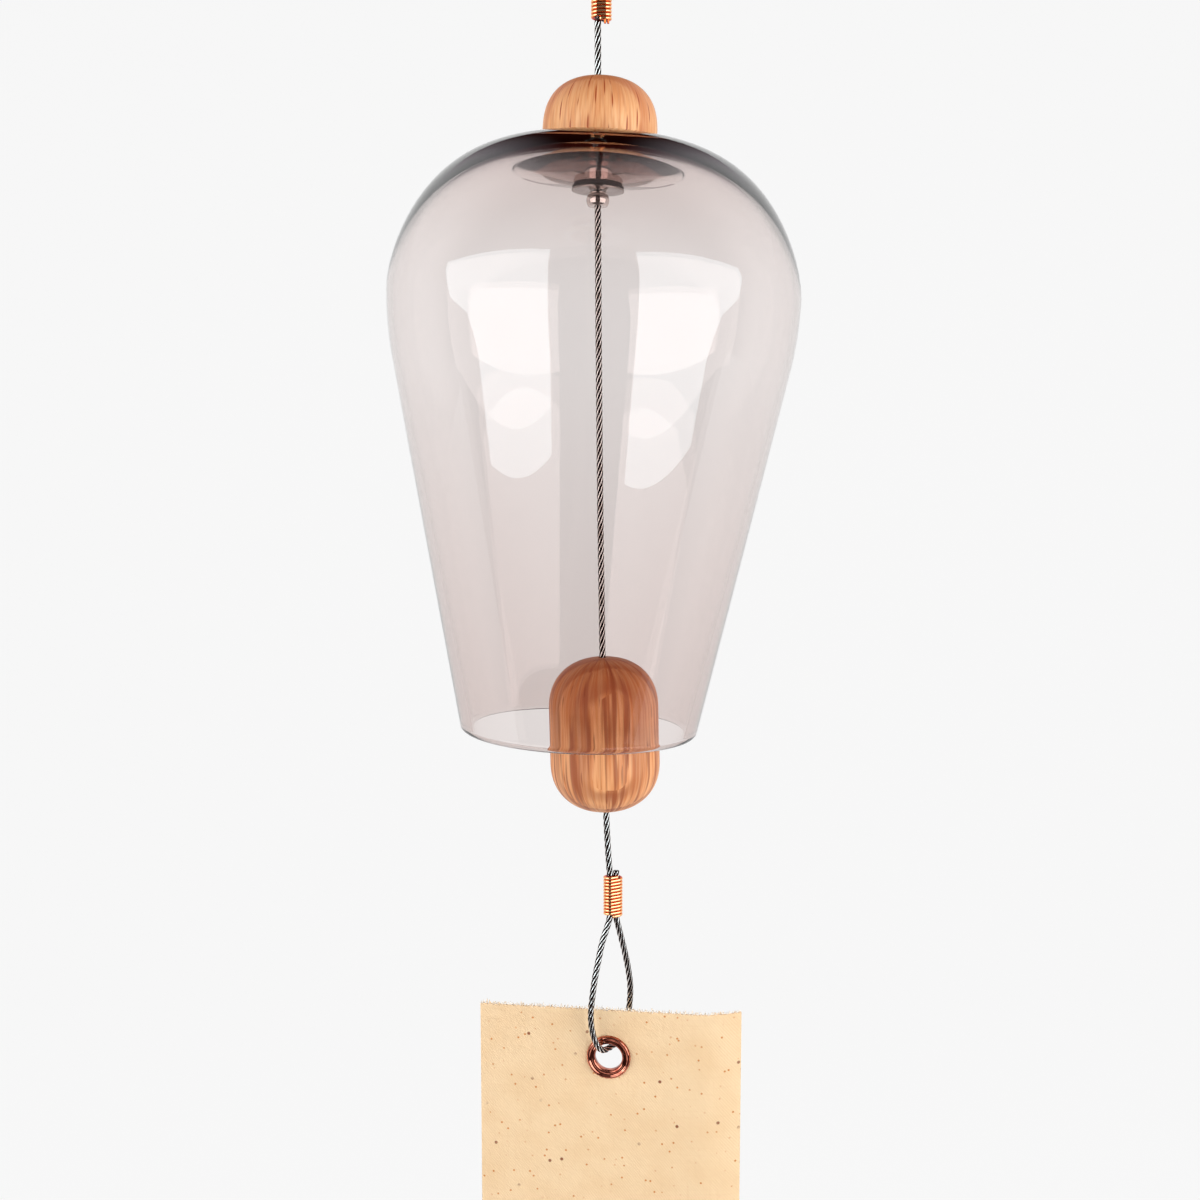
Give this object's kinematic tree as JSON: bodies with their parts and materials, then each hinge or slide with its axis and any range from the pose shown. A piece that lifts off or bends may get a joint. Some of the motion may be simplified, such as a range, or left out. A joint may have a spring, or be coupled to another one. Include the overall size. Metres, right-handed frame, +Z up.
{
  "type": "glass wind bell",
  "caption": "Glass wind bell: smoked glass bell on a wire rope with a wooden cap, a wooden clapper at its mouth and a cotton wind sail hung from a copper eyelet.",
  "frame": {"origin": "point inside the top of the hanging loop that bears on a hook", "axes": "+Z up along the hanging rope, -Y is the front that the sail faces, +X to the right seen from the front"},
  "size_m": [0.0996, 0.0996, 0.4383],
  "materials": {
    "rope": "stranded stainless wire, bright and dark along the lay",
    "copper_wire": "bright enamelled copper wire, orange red",
    "stop_steel": "polished stainless steel",
    "steel": "smooth stainless steel",
    "rubber": "matt black rubber",
    "seal": "soft dark grey rubber",
    "oak": "oiled red oak with open pores, fine satin",
    "pad": "thin golden brown cork and leather pad",
    "smoke_glass": "clear blown glass with a pinkish grey smoke tint",
    "cotton": "undyed woven cotton, flecked with seed husks, frayed top edge",
    "copper": "rolled copper eyelet, red brown and glossy"
  },
  "bodies": {
    "hanger": {"hanging_loop": "rope", "upper_whipping": "copper_wire"},
    "suspension": {"upper_rope": "rope"},
    "stop": {"ball_stop": "stop_steel"},
    "washers": {"steel_washer": "steel", "rubber_washer": "rubber", "seal_washer": "seal"},
    "bell": {"oak_cap": "oak", "cap_pad": "pad", "glass_bell": "smoke_glass"},
    "clapper": {"clapper_rope": "rope", "clapper_bead": "oak"},
    "drop": {"sail_loop": "rope", "lower_whipping": "copper_wire"},
    "sail": {"sail_cloth": "cotton", "eyelet": "copper", "eyelet_washer": "copper"}
  },
  "joints": [
    {"name": "sway", "type": "hinge", "parent": "hanger", "child": "suspension", "pos_m": [-0.00015, -0.00006, -0.04312], "axis": [0, 1, 0], "range_deg": [-10, 10]},
    {"name": "bell_rock", "type": "hinge", "parent": "suspension", "child": "washers", "pos_m": [-0.0001, 0, -0.08097], "axis": [0, 1, 0], "range_deg": [-4.2, 0]},
    {"name": "bell_spin", "type": "hinge", "parent": "washers", "child": "bell", "pos_m": [-0.0001, 0, -0.08097], "axis": [0.0366, 0, 0.9993], "continuous": true},
    {"name": "rope_turn", "type": "hinge", "parent": "suspension", "child": "stop", "pos_m": [-0.0001, 0, -0.08097], "axis": [0, 0, 1], "range_deg": [-180, 180]},
    {"name": "clapper_swing", "type": "hinge", "parent": "stop", "child": "clapper", "pos_m": [-0.0001, 0, -0.08487], "axis": [0, 1, 0], "range_deg": [-2.6, 4]},
    {"name": "drop_swing", "type": "hinge", "parent": "clapper", "child": "drop", "pos_m": [0.00195, 0, -0.23436], "axis": [0, 1, 0], "range_deg": [-12, 12]},
    {"name": "sail_flap", "type": "hinge", "parent": "drop", "child": "sail", "pos_m": [0.00265, 0, -0.29678], "axis": [0.9903, -0.1392, 0], "range_deg": [-8, 8]}
  ]
}
